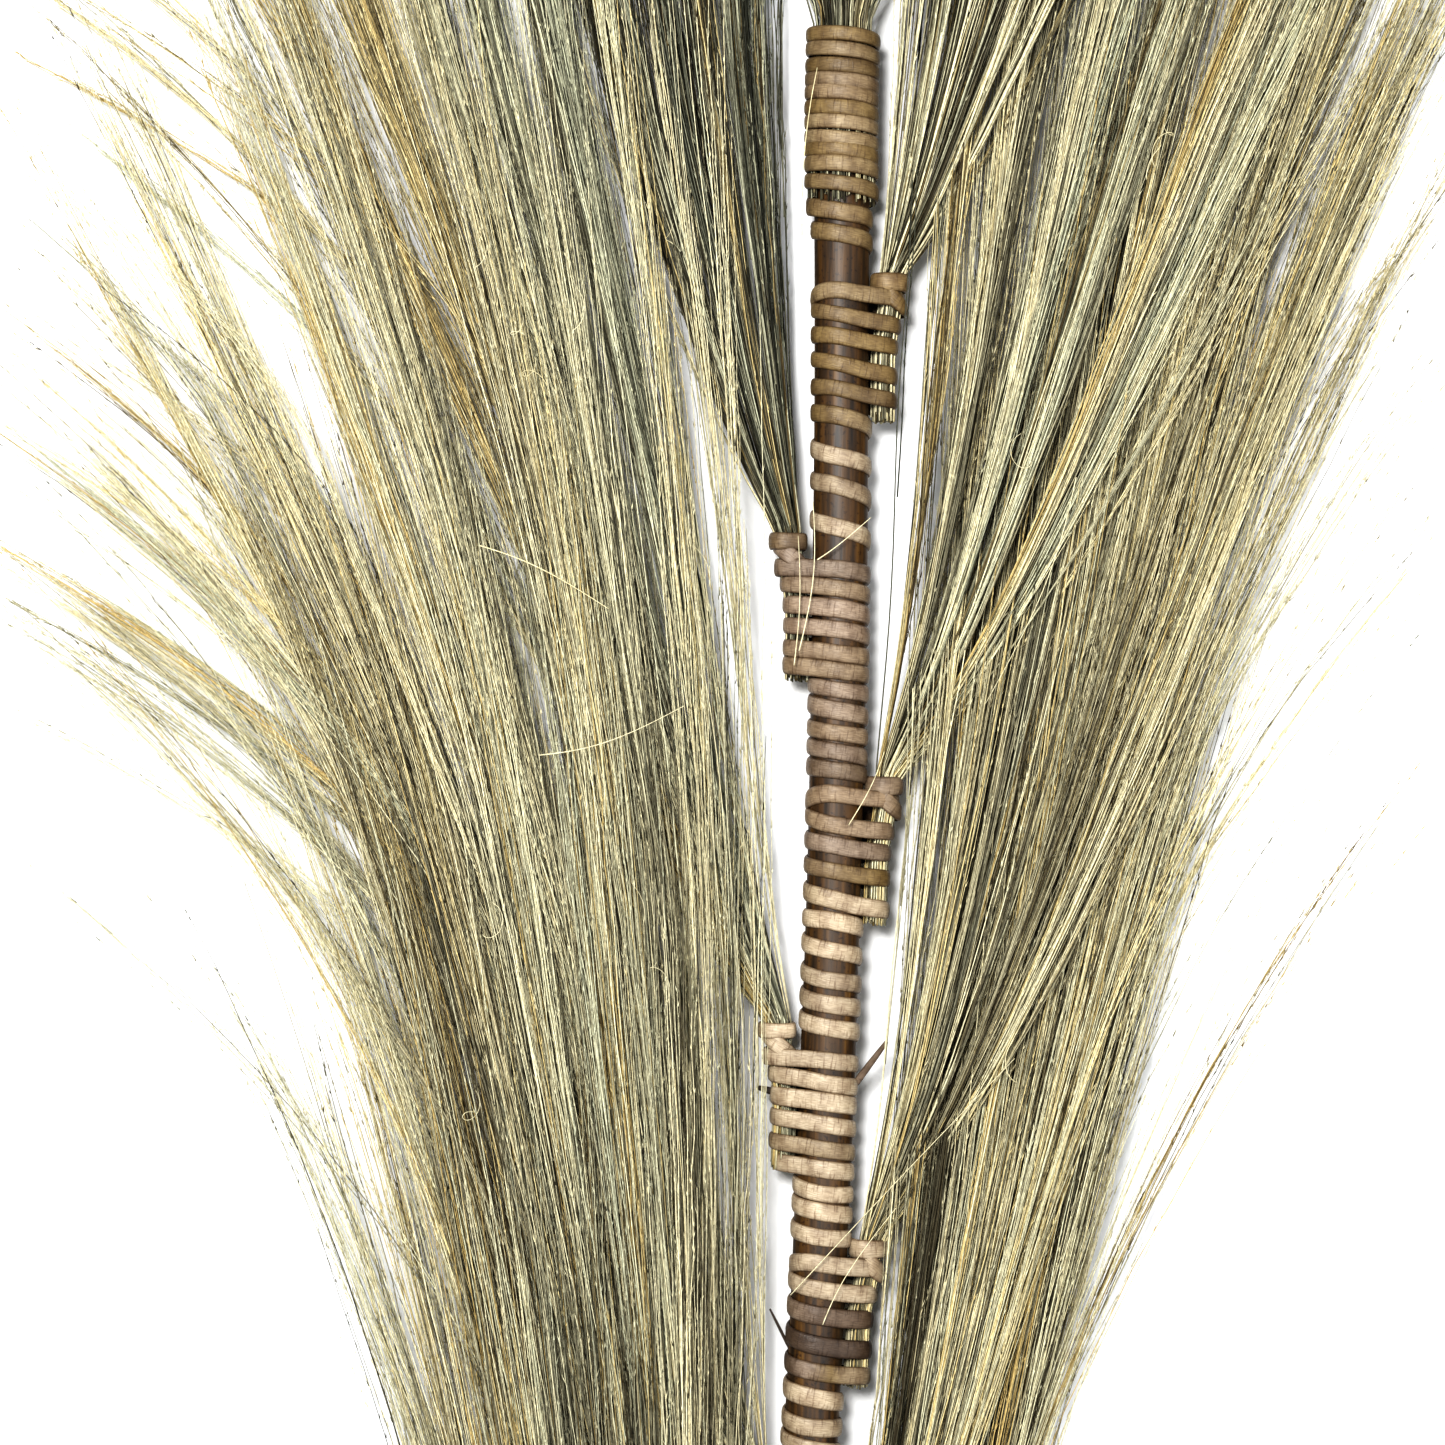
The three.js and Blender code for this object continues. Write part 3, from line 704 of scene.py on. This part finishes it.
def branches(plume, straws, culm_colours, rng):
    """Branches of the panicles, each beginning at the culm that bears it."""
    culm_tone, culm_tint = culm_colours
    neck, length = plume.neck, plume.length
    parent = rng.integers(0, CULMS, BRANCHES)
    begin = neck + length * rng.uniform(*BRANCH_BEGINS, BRANCHES) ** 1.15
    finish = begin + length * rng.uniform(*BRANCH_LENGTHS, BRANCHES)
    finish = np.minimum(finish, neck + length * rng.uniform(*BRANCH_LAST, BRANCHES))
    finish = np.maximum(plume.trimmed(straws[:, parent], begin, finish, rng), begin + 20 * MM)
    share = np.linspace(0, 1, BRANCH_POINTS)
    y = begin[:, None] + (finish - begin)[:, None] * share
    part = share[None, :] ** 1.25 * ((finish - begin) / (0.45 * length))[:, None]
    paths = plume.path(straws[:, parent], y)
    stray = rng.normal(0, BRANCH_STRAY[0], (BRANCHES, 1)) * part
    paths[..., 0] += stray + wander(rng, BRANCHES, BRANCH_POINTS, BRANCH_WANDER[0], 8) * smooth(share, 0, 0.3)
    stray = rng.normal(0, BRANCH_STRAY[1], (BRANCHES, 1)) * part
    paths[..., 2] += stray + wander(rng, BRANCHES, BRANCH_POINTS, BRANCH_WANDER[1], 6)
    paths = within(paths)
    radii = (BRANCH_RADIUS - BRANCH_TAPER * share)[None, :] * rng.uniform(0.7, 1.3, (BRANCHES, 1))
    tone = (culm_tone[parent] + rng.normal(0, BRANCH_TONE_SPREAD, BRANCHES))[:, None] + plume.bleach(y)
    tone = np.clip(tone + wander(rng, BRANCHES, BRANCH_POINTS, 0.05, 6), 0.02, 0.99)
    tint = (culm_tint[parent] + rng.normal(0, BRANCH_TINT_SPREAD, BRANCHES))[:, None] + 0.05 * share[None, :]
    return paths, radii, tone, tint


def spikelet_piece(name, paths, tone, tint, material, rng, node):
    """Small pointed bodies that stand off the outer parts of the branches."""
    count, steps, _ = paths.shape
    branch = rng.integers(0, count, SPIKELETS)
    place = rng.uniform(0.12, 0.995, SPIKELETS) * (steps - 1)
    step = place.astype(int)
    part = (place - step)[:, None]
    first, second = paths[branch, step], paths[branch, step + 1]
    base = first + (second - first) * part
    forward = second - first
    forward /= np.linalg.norm(forward, axis=1, keepdims=True)
    stray = rng.normal(0, 1, (SPIKELETS, 3))
    stray -= forward * np.sum(stray * forward, axis=1, keepdims=True)
    stray /= np.linalg.norm(stray, axis=1, keepdims=True)
    across = np.cross(forward, stray)
    length = rng.uniform(*SPIKELET_LENGTH, (SPIKELETS, 1))
    width = rng.uniform(*SPIKELET_WIDTH, (SPIKELETS, 1))
    tip = base + forward * length + stray * length * rng.uniform(*SPIKELET_STRAY, (SPIKELETS, 1))
    points = np.stack([base - across * width, base + across * width, base + stray * width * 1.4, tip], axis=1)
    points[..., 2] = np.maximum(points[..., 2], 0.1 * MM)
    index = np.arange(SPIKELETS * 4).reshape(SPIKELETS, 4)
    triangles = np.concatenate([index[:, side] for side in [(0, 1, 2), (0, 3, 1), (1, 3, 2), (2, 3, 0)]])
    own_tone = np.clip(tone[branch, step] + rng.normal(0.06, 0.12, SPIKELETS), 0.02, 0.97)
    own_tint = np.clip(tint[branch, step] + rng.normal(-0.06, 0.06, SPIKELETS), 0, 0.97)
    tones = np.repeat(own_tone[:, None], 4, axis=1)
    tints = np.repeat(own_tint[:, None], 4, axis=1)
    no_quads = np.empty((0, 4), int)
    mesh, corners = new_mesh(name, points.reshape(-1, 3), no_quads, triangles, {"tone": tones, "tint": tints})
    map_across = tones + np.array([0, MAP_WIDTH, 0, MAP_WIDTH])
    map_up = tints + np.array([0, 0, MAP_WIDTH, MAP_WIDTH])
    add_bake_map(mesh, corners, map_across, map_up)
    mesh.materials.append(material)
    add_piece(name, mesh, "grass", node)


# ---------------- pole


POLE_SIDES, POLE_RINGS = 48, 260
END_BEVEL = 0.8 * MM


def make_pole(bark, pith):
    """The crooked pole. Its wall fills most of the bake map and its sawn ends two small discs."""
    sides, rings = POLE_SIDES, POLE_RINGS
    y = np.linspace(pole_low[1], pole_high[1], rings)
    angle = 2 * np.pi * np.arange(sides) / sides
    radius = POLE_RADIUS * (1 + 0.012 * np.sin(y * 31)[:, None] + 0.006 * np.sin(3 * angle + 9 * y[:, None]))
    edge = np.minimum(np.arange(rings), np.arange(rings)[::-1])
    radius = radius - END_BEVEL * (edge == 0)[:, None]
    x = bow(y)[:, None] + radius * np.cos(angle)
    z = AXIS_Z + radius * np.sin(angle)
    points = np.stack([x, np.broadcast_to(y[:, None], x.shape), z], axis=-1).reshape(-1, 3)
    index = np.arange(rings * sides).reshape(rings, sides)
    after = np.roll(index, -1, axis=1)
    quads = np.stack([index[:-1], index[1:], after[1:], after[:-1]], axis=-1).reshape(-1, 4)
    centres = np.array([[bow(y[0]), y[0], AXIS_Z], [bow(y[-1]), y[-1], AXIS_Z]])
    low, high = len(points), len(points) + 1
    ends = [(low, a, b) for a, b in zip(index[0], after[0])]
    ends += [(high, b, a) for a, b in zip(index[-1], after[-1])]
    mesh, corners = new_mesh("pole_stick", np.concatenate([points, centres]), quads, np.array(ends))
    step, side = np.divmod(np.arange(len(quads)), sides)
    u = np.stack([side, side, side + 1, side + 1], axis=-1) / sides
    v = 0.05 + 0.9 * np.stack([step, step + 1, step + 1, step], axis=-1) / (rings - 1)
    wall = np.stack([u, v], axis=-1).reshape(-1, 2)
    rim = np.repeat(angle, 3).reshape(-1, 3) + np.array([0, 0, 2 * np.pi / sides])
    disc = np.stack([np.cos(rim), np.sin(rim)], axis=-1) * np.array([0, 1, 1])[:, None] * 0.02
    both = np.concatenate([disc + np.array([0.03, 0.025]), disc[:, [0, 2, 1]] + np.array([0.03, 0.975])])
    layer = mesh.uv_layers.new(name="OFBake")
    layer.data.foreach_set("uv", np.concatenate([wall, both.reshape(-1, 2)]).astype(np.float32).ravel())
    mesh.materials.append(bark)
    mesh.materials.append(pith)
    for polygon in mesh.polygons[len(quads):]:
        polygon.material_index = 1
        polygon.use_smooth = False
    add_piece("pole_stick", mesh, "pole", "pole")


# ---------------- wound strips


def hull_point(circles, angle):
    """Distance and outward angle where rays from the first circle's centre leave the hull of the circles."""
    normals = angle[:, None] + np.linspace(-1.35, 1.35, 181)[None, :]
    reach = np.full(normals.shape, -1.0)
    for offset, radius in circles:
        reach = np.maximum(reach, offset[:, None] * np.cos(normals) + radius[:, None])
    reach = reach / np.cos(normals - angle[:, None])
    best = np.argmin(reach, axis=1)
    rows = np.arange(len(angle))
    return reach[rows, best], normals[rows, best]


STRIP_PROFILE = 14  # points round a strip's section
EDGE_HEIGHT = 0.2  # in thicknesses
BACK_FLATNESS = 3.6
BACK_ROUNDNESS = 0.7


def strip_map(mesh, corners, steps, turn_steps):
    """Each turn of the strip gets a row of its own on the map."""
    layer = mesh.uv_layers.new(name="OFBake")
    rows = -(-(steps - 1) // turn_steps)
    step, side = np.divmod(np.arange((steps - 1) * STRIP_PROFILE), STRIP_PROFILE)
    row, place = np.divmod(step, turn_steps)
    u = np.stack([place, place + 1, place + 1, place], axis=-1) / turn_steps
    v = np.stack([side, side, side + 1, side + 1], axis=-1) / STRIP_PROFILE
    v = (row[:, None] + 0.06 + 0.88 * v) / rows
    quads = np.stack([u, v], axis=-1).reshape(-1, 2)
    ends = (len(corners) - len(quads)) // 3
    cap = np.tile([[0, 0], [0.01, 0], [0, 0.04 / rows]], (ends, 1))
    layer.data.foreach_set("uv", np.concatenate([quads, cap]).astype(np.float32).ravel())


def strip_mesh(name, run, material, rng, nodes):
    """A strip of half-round section. Its run holds points, outward, width, thickness, hue and tone."""
    points, outward = run["points"], run["outward"]
    steps = len(points)
    tangent = np.gradient(points, axis=0)
    tangent /= np.linalg.norm(tangent, axis=-1, keepdims=True)
    wide = np.cross(tangent, outward)
    wide /= np.linalg.norm(wide, axis=-1, keepdims=True)
    out = np.cross(wide, tangent)
    dome = -np.cos(np.linspace(0, np.pi, STRIP_PROFILE - 2))
    rise = EDGE_HEIGHT + (1 - EDGE_HEIGHT) * (1 - np.abs(dome) ** BACK_FLATNESS) ** BACK_ROUNDNESS
    dome, rise = np.concatenate([[-1.0], dome, [1.0]]), np.concatenate([[0.0], rise, [0.0]])
    half = run["width"][:, None] / 2
    rough = 1 + rng.normal(0, 0.025, (steps, STRIP_PROFILE))
    section = (
        points[:, None, :]
        + wide[:, None, :] * (half * dome[None, :])[..., None]
        + out[:, None, :] * (run["thickness"][:, None] * rise[None, :] * rough)[..., None]
    )
    index = np.arange(steps * STRIP_PROFILE).reshape(steps, STRIP_PROFILE)
    after = np.roll(index, -1, axis=1)
    quads = np.stack([index[:-1], index[1:], after[1:], after[:-1]], axis=-1).reshape(-1, 4)
    fans = range(1, STRIP_PROFILE - 1)
    ends = [(index[0, 0], index[0, k], index[0, k + 1]) for k in fans]
    ends += [(index[-1, 0], index[-1, k + 1], index[-1, k]) for k in fans]
    length = np.concatenate([[0], np.cumsum(np.linalg.norm(np.diff(points, axis=0), axis=1))]) / MM
    shape = (steps, STRIP_PROFILE)
    values = {
        "hue": np.broadcast_to(run["hue"][:, None], shape),
        "tone": np.broadcast_to(run["tone"][:, None], shape),
        "run": np.broadcast_to((length + 40 * rng.uniform())[:, None], shape),
        "across": half * dome[None, :] / MM + 0 * length[:, None],
        "edge": np.broadcast_to(np.abs(dome)[None, :], shape),
    }
    mesh, corners = new_mesh(name, section.reshape(-1, 3), quads, np.array(ends), values)
    strip_map(mesh, corners, steps, STEPS_PER_TURN)
    mesh.materials.append(material)
    add_piece(name, mesh, "cane", *nodes)


def polar(centre, distance, angle, y):
    """Points at a distance and an angle from an axis that runs along y."""
    return np.stack([centre + distance * np.cos(angle), y, AXIS_Z + distance * np.sin(angle)], axis=-1)


def facing(angle):
    """Outward directions at angles round that axis."""
    return np.stack([np.cos(angle), np.zeros_like(angle), np.sin(angle)], axis=-1)


STEPS_PER_TURN = 44
CLOSE = 0.25 * MM  # between a strip and what it is wound round
TURN_PITCH = 9.9 * MM
OWN_PITCH = {"right_1": 11.8 * MM, "left_1": 9.2 * MM, "left_2": 9.4 * MM}
SLACK = {"right_1": 0.3}  # how much wider than the mean the lowest turns are spaced
CLOSE_PITCH = 6.0 * MM
TOP_NARROWER = 0.13  # of the top strip's width, where its turns are close
BACK = math.radians(-90)  # under the pole, where the top strip begins and ends
STRIP_FROM = {"right": math.radians(-72), "left": math.radians(108)}  # where the other strips begin
LOOP_DROP = 9.5 * MM  # how far below the neck the strip leaves the pole
LOOP_RISE = 9.5 * MM
LOOP_END = math.radians(565)  # where the loop ends, from where the strip crosses over the stems
DIP = 12 * MM  # how far the last turn drops behind the pole on its way to a right tuft


def turns_path(low, high, turns, first, rng, circles_at, slack=0.0):
    """A helix round whatever circles_at gives, with the unevenness of hand winding."""
    steps = int(turns * STEPS_PER_TURN)
    turn = np.linspace(0, turns, steps + 1)
    angle = first + 2 * np.pi * (turn - turns)
    knots = np.arange(0, math.ceil(turns) + 2, 0.5)
    uneven = np.interp(turn, knots, rng.normal(0, 0.11, len(knots)))
    uneven = uneven * np.minimum(1, np.minimum(turn, turns - turn))
    share = (turn + uneven) / turns
    y = low + (high - low) * (share + slack * share * (1 - share))
    reach, outward = hull_point(circles_at(y), angle)
    return polar(bow(y), reach + CLOSE, angle, y), facing(outward), turn


def soften(values, width=5):
    """Running mean along the first axis, ends kept."""
    kernel = np.hanning(width + 2)[1:-1]
    kernel /= kernel.sum()
    padded = np.pad(values, ((width // 2, width // 2), (0, 0)), mode="edge")
    return np.stack([np.convolve(padded[:, k], kernel, "valid") for k in range(values.shape[1])], axis=1)


# Hue of the strip at distances in mm below the top tuft's butts: browns, taupe and pale cane in turn.
HUE_ZONES = [
    (-80, 0.53),
    (85, 0.56),
    (97, 0.8),
    (140, 0.8),
    (146, 0.34),
    (280, 0.4),
    (300, 0.84),
    (462, 0.8),
    (466, 0.12),
    (488, 0.12),
    (493, 0.75),
    (1000, 0.8),
]


def strip_hue(y):
    return np.interp((SLEEVE_BOTTOM - y) / MM, *zip(*HUE_ZONES))


def strip_run(points, outward, turn, rng):
    """All that strip_mesh needs, as uneven as a strip split by hand."""
    knots = np.arange(0, math.ceil(turn[-1]) + 2, 0.5)
    width = STRIP_WIDTH * (1 + np.interp(turn, knots, rng.normal(0, 0.06, len(knots))))
    ends = np.minimum(1, np.minimum(turn, turn[-1] - turn) * 14 + 0.35)
    hue = strip_hue(points[:, 1])
    whole = np.arange(0, math.ceil(turn[-1]) + 2)
    hue = hue + np.interp(turn, whole + 0.5, rng.normal(0, 0.05, len(whole)))
    tone = 0.5 + np.interp(turn, whole + 0.25, rng.normal(0, 0.16, len(whole)))
    return {
        "points": points,
        "outward": outward,
        "width": width * ends,
        "thickness": np.full(len(points), STRIP_THICKNESS),
        "hue": np.clip(hue, 0, 1),
        "tone": np.clip(tone, 0, 1),
    }


def side_binding(tie, low, rng, material):
    """The strip of a side tuft: turns round the pole and the stems, then a loop round the tuft's neck."""
    side_name = tie.split("_")[0]
    side, first = SIDES[side_name], STRIP_FROM[side_name]
    neck = NECK_OF[tie]
    stems_from = neck - STEM_LENGTH
    loop_from = neck - LOOP_DROP

    def circles(y):
        there = smooth(y, stems_from - 5 * MM, stems_from + 3 * MM)
        zero = np.zeros_like(y)
        stems = (side * there * stem_out(neck, y), STEM_RADIUS * there + 2 * MM * (1 - there))
        return [(zero, zero + POLE_RADIUS), stems]

    turns = max(1.0, round((loop_from - low) / OWN_PITCH.get(tie, TURN_PITCH))) + (0 if side > 0 else 0.55)
    rise = DIP if side > 0 else 0
    slack = SLACK.get(tie, 0.0)
    points, outward, turn = turns_path(low, loop_from + rise, turns, first, rng, circles, slack)
    points[:, 1] -= rise * smooth(turn, turns - 0.55, turns)
    # The neck loop: the strip goes on round the stems alone, slants up across them and closes over itself.
    cross = 0.0 if side > 0 else 2 * math.pi
    last = cross + LOOP_END
    loop_turns = (last - first) / (2 * math.pi)
    count = int(loop_turns * STEPS_PER_TURN)
    part = np.linspace(0, 1, count + 1)[1:]
    swing = first + part * (last - first)
    y = loop_from + LOOP_RISE * smooth(swing, cross + 0.1, cross + math.pi * 0.95)
    y = y + 1.5 * MM * smooth(swing, cross + math.pi, cross + 2 * math.pi)
    over = 1.9 * MM * smooth(swing, cross + 2.35 * math.pi, cross + 2.85 * math.pi)
    centre = bow(y) + side * stem_out(neck, y)
    loop = polar(centre, STEM_RADIUS + CLOSE + over, swing, y)
    points = soften(np.concatenate([points, loop]))
    outward = np.concatenate([outward, facing(swing)])
    turn = np.concatenate([turn, turn[-1] + part * loop_turns])
    run = strip_run(points, outward, turn, rng)
    strip_mesh(f"strip_{tie}", run, material, rng, [f"binding_{tie}"])


def top_binding(low, rng, material):
    """The top strip: open turns round the pole, then close ones round the top tuft's stems."""
    high = SLEEVE_BOTTOM + SLEEVE_LENGTH - STRIP_WIDTH / 2
    middle = SLEEVE_BOTTOM + 10 * MM

    def circles(y):
        there = smooth(y, SLEEVE_BOTTOM - 9 * MM, SLEEVE_BOTTOM)
        zero = np.zeros_like(y)
        return [(zero, POLE_RADIUS + there * (SLEEVE_RADIUS - POLE_RADIUS))]

    open_turns = round((middle - low) / TURN_PITCH)
    close_turns = round((high - middle) / CLOSE_PITCH)
    a_points, a_out, a_turn = turns_path(low, middle, open_turns, BACK, rng, circles)
    b_points, b_out, b_turn = turns_path(middle, high, close_turns, BACK, rng, circles)
    points = np.concatenate([a_points, b_points[1:]])
    outward = np.concatenate([a_out, b_out[1:]])
    turn = np.concatenate([a_turn, a_turn[-1] + b_turn[1:]])
    run = strip_run(points, outward, turn, rng)
    run["width"] *= 1 - TOP_NARROWER * smooth(points[:, 1], middle, middle + 10 * MM)
    strip_mesh("strip_top", run, material, rng, ["binding_top"])


NEXT_START = {"right": 3 * MM, "left": -1 * MM}  # from the neck below, where a strip begins
TOP_START = 15 * MM  # from the first neck, where the top strip begins


def make_bindings(material):
    """A strip for each tuft, from the top down."""
    rng = np.random.default_rng(BINDINGS_SEED)
    top_binding(NECK_OF[TIES[0]] + TOP_START, rng, material)
    for tie, below in zip(TIES, TIES[1:] + [None]):
        if below:
            low = NECK_OF[below] + NEXT_START[below.split("_")[0]]
        else:
            low = box(f"binding_{tie}")[0][1] + STRIP_WIDTH / 2
        side_binding(tie, low, rng, material)


# Cut ends that stand out of the winding: foot and tip in mm right of the pole, below the top tuft's butts and
# up, then width, hue and tone.
STRIP_ENDS = [
    ((9, 375, 17), (24, 352, 27), 3.0, 0.22, 0.5),
    ((-19, 376, 17), (-29, 373.5, 18), 3.2, 0.0, 0.1),
    ((-9, 486, 18), (-20, 466, 20), 1.4, 0.02, 0.2),
]
END_STEPS = 20
END_THICKNESS = 0.9 * MM


def make_strip_ends(material):
    rng = np.random.default_rng(STRIP_ENDS_SEED)
    share = np.linspace(0, 1, END_STEPS)
    for number, (foot, tip, width, hue, tone) in enumerate(STRIP_ENDS, 1):
        way = (np.array(foot, float) + (np.array(tip, float) - foot) * share[:, None]) * MM
        y = SLEEVE_BOTTOM - way[:, 1]
        run = {
            "points": np.stack([bow(y) + way[:, 0], y, way[:, 2]], axis=-1),
            "outward": np.tile([0.0, 0.0, 1.0], (END_STEPS, 1)),
            "width": width * MM * (1 - 0.45 * share**3),
            "thickness": np.full(END_STEPS, END_THICKNESS),
            "hue": np.full(END_STEPS, hue),
            "tone": np.full(END_STEPS, tone),
        }
        strip_mesh(f"strip_end_{number}", run, material, rng, ["binding_left_2"])


# Straws that came loose: where each begins and ends in the same way, and how far it bends aside.
LOOSE_STRAWS = [
    ((-124, 236, 47), (-64, 214, 50), 5),
    ((-12, 458, 33), (76, 356, 46), 4),
    ((-17, 18, 37), (-11, -52, 37), 2),
    ((-19, 196, 30), (-18, 142, 31), -1.5),
    ((-17, 190, 31), (-12, 128, 34), -3),
    ((-10, 152, 34), (12, 134, 35), 3),
    ((5, 262, 33), (19, 231, 37), -2),
    ((2, 470, 33), (30, 420, 38), 5),
    ((96, 116, 48), (60, 210, 46), 6),
    ((-150, 150, 44), (-96, 175, 47), -4),
]
CURLS = 14
LOOSE_POINTS = 24


def make_loose_straws(material):
    """Loose straws across the bundle and curled hairs caught in its plumes."""
    rng = np.random.default_rng(LOOSE_SEED)
    share = np.linspace(0, 1, LOOSE_POINTS)
    paths, radii = [], []
    for start, end, bend in LOOSE_STRAWS:
        start, end = np.array(start, float), np.array(end, float)
        way = start + (end - start) * share[:, None]
        across = np.array([end[1] - start[1], end[0] - start[0], 0])
        way += across / np.linalg.norm(across) * bend * np.sin(np.pi * share)[:, None]
        paths.append(way)
        radii.append(0.32 - 0.14 * share)
    for _ in range(CURLS):
        side = rng.choice([-1, 1])
        middle = np.array([side * rng.uniform(60, 150), rng.uniform(-60, 420), 50])
        swing = rng.uniform(0, 2 * np.pi) + side * share * rng.uniform(3, 7)
        size = rng.uniform(2.5, 6) * (1.2 - share)
        curl = [np.cos(swing) * size, np.sin(swing) * size - 14 * share, 2 * np.sin(np.pi * share)]
        paths.append(middle + np.stack(curl, axis=-1))
        radii.append(0.2 - 0.08 * share)
    paths = np.array(paths) * MM
    y = SLEEVE_BOTTOM - paths[..., 1]
    paths = np.stack([bow(y) + paths[..., 0], y, paths[..., 2]], axis=-1)
    tone = np.repeat(rng.uniform(0.8, 0.95, (len(paths), 1)), len(share), axis=1)
    tint = np.repeat(rng.uniform(0.45, 0.65, (len(paths), 1)), len(share), axis=1)
    radii = np.array(radii) * MM
    straw_piece("loose_straws", within(paths), radii, tone, tint, material, rng, "tuft_right_2")


make_camera()
make_stage()
grass = grass_material()
cane = cane_material()
make_pole(bark_material(), pith_material())
make_bindings(cane)
make_strip_ends(cane)
for index, tie in enumerate(["top", *TIES]):
    make_tuft(tie, index, grass)
make_loose_straws(grass)
